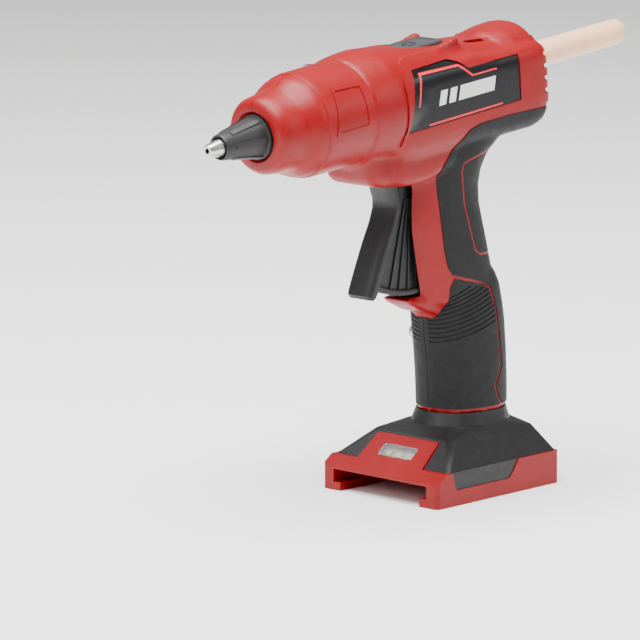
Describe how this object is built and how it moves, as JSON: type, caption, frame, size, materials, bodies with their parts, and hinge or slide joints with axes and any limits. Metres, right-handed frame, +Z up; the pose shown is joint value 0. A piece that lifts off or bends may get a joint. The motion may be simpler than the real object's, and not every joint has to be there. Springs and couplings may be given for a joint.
{
  "type": "cordless hot glue gun",
  "caption": "Cordless pistol-grip hot glue gun with heated nozzle, trigger feed, soft grips and a battery foot, loaded with a glue stick.",
  "frame": {"origin": "mid-plane of the foot's bottom face, 37.5 mm behind the foot's front, where the battery slides in", "axes": "+X towards the nozzle, +Y to the gun's left, +Z up"},
  "size_m": [0.2534, 0.066, 0.1952],
  "materials": {
    "shell_red": "moulded, fine satin grain",
    "soft_grip": "soft moulded rubber, matt",
    "hard_black": "moulded, fine grain",
    "side_panel": "printed film panel, satin",
    "button_grey": "moulded, satin",
    "nozzle_metal": "turned, nickel plated",
    "silicone": "moulded silicone, satin",
    "silicone_red": "moulded silicone",
    "cast_aluminium": "die cast, matt",
    "ceramic_plate": "fired, matt",
    "resin_ring": "heat resistant moulding",
    "spring_steel": "drawn wire and strip",
    "machined_steel": "ground pins and zinc plated screws",
    "carriage_grey": "moulded, matt",
    "board_green": "solder mask",
    "chip_black": "moulded",
    "wire_red": "extruded sleeve",
    "wire_black": "extruded sleeve",
    "contact_brass": "stamped",
    "lens_clear": "clear moulding, polished",
    "board_white": "white solder mask",
    "lamp": "encapsulated",
    "glue": "translucent hot-melt glue"
  },
  "bodies": {
    "gun_body": {"housing_left": "shell_red", "housing_right": "shell_red", "foot_base": "shell_red", "grip_left": "soft_grip", "grip_right": "soft_grip", "palm_pad_left": "soft_grip", "palm_pad_right": "soft_grip", "lower_grip_left": "soft_grip", "lower_grip_right": "soft_grip", "foot_cover": "hard_black", "stick_guide": "hard_black", "side_panel_left": "side_panel", "side_panel_right": "side_panel", "nozzle": "nozzle_metal", "nozzle_sleeve": "silicone", "inlet_sleeve": "silicone_red", "heating_chamber": "cast_aluminium", "heater_plates": "ceramic_plate", "front_cradle": "resin_ring", "rear_cradle": "resin_ring", "button_spring": "spring_steel", "valve_spring": "spring_steel", "trigger_spring": "spring_steel", "heater_clip": "spring_steel", "valve_ball": "spring_steel", "trigger_pin": "machined_steel", "housing_screws": "machined_steel", "foot_screws": "machined_steel", "thermal_fuse": "machined_steel", "control_board": "board_green", "button_board": "board_green", "board_components": "chip_black", "terminal_block": "chip_black", "heater_wires": "wire_red", "supply_wires": "wire_black", "terminal_blades": "contact_brass", "led_lens": "lens_clear", "led_board": "board_white", "led_lamps": "lamp"},
    "trigger": {"trigger": "hard_black"},
    "feed_carriage": {"feed_carriage": "carriage_grey", "jaw_pin": "machined_steel"},
    "gripper_jaw": {"gripper_jaw": "machined_steel"},
    "power_button": {"power_button": "button_grey"},
    "glue_stick": {"glue_stick": "glue"}
  },
  "joints": [
    {"name": "trigger_pull", "type": "hinge", "parent": "gun_body", "child": "trigger", "pos_m": [0.024, 0, 0.141], "axis": [0, 1, 0], "range_deg": [0, 16], "stiffness_Nm_per_rad": 1.2, "springref_deg": -6.88},
    {"name": "carriage_slide", "type": "slide", "parent": "gun_body", "child": "feed_carriage", "axis": [0.9947, 0, -0.1028], "range_m": [0, 0.00817]},
    {"name": "jaw_bite", "type": "hinge", "parent": "feed_carriage", "child": "gripper_jaw", "pos_m": [0.01488, 0, 0.16059], "axis": [0, -1, 0], "range_deg": [0, 5.01]},
    {"name": "stick_slide", "type": "slide", "parent": "gun_body", "child": "glue_stick", "axis": [0.9947, 0, -0.1028], "range_m": [-0.12, 0]},
    {"name": "button_press", "type": "slide", "parent": "gun_body", "child": "power_button", "axis": [-0.1028, 0, -0.9947], "range_m": [0, 0.0012], "stiffness_N_per_m": 400, "springref_m": -0.002, "deforming": ["button_spring"]}
  ],
  "couplings": [
    {"joint": "carriage_slide", "follows": "trigger_pull", "m_per_rad": 0.02924},
    {"joint": "jaw_bite", "follows": "trigger_pull", "ratio": 0.3125}
  ]
}
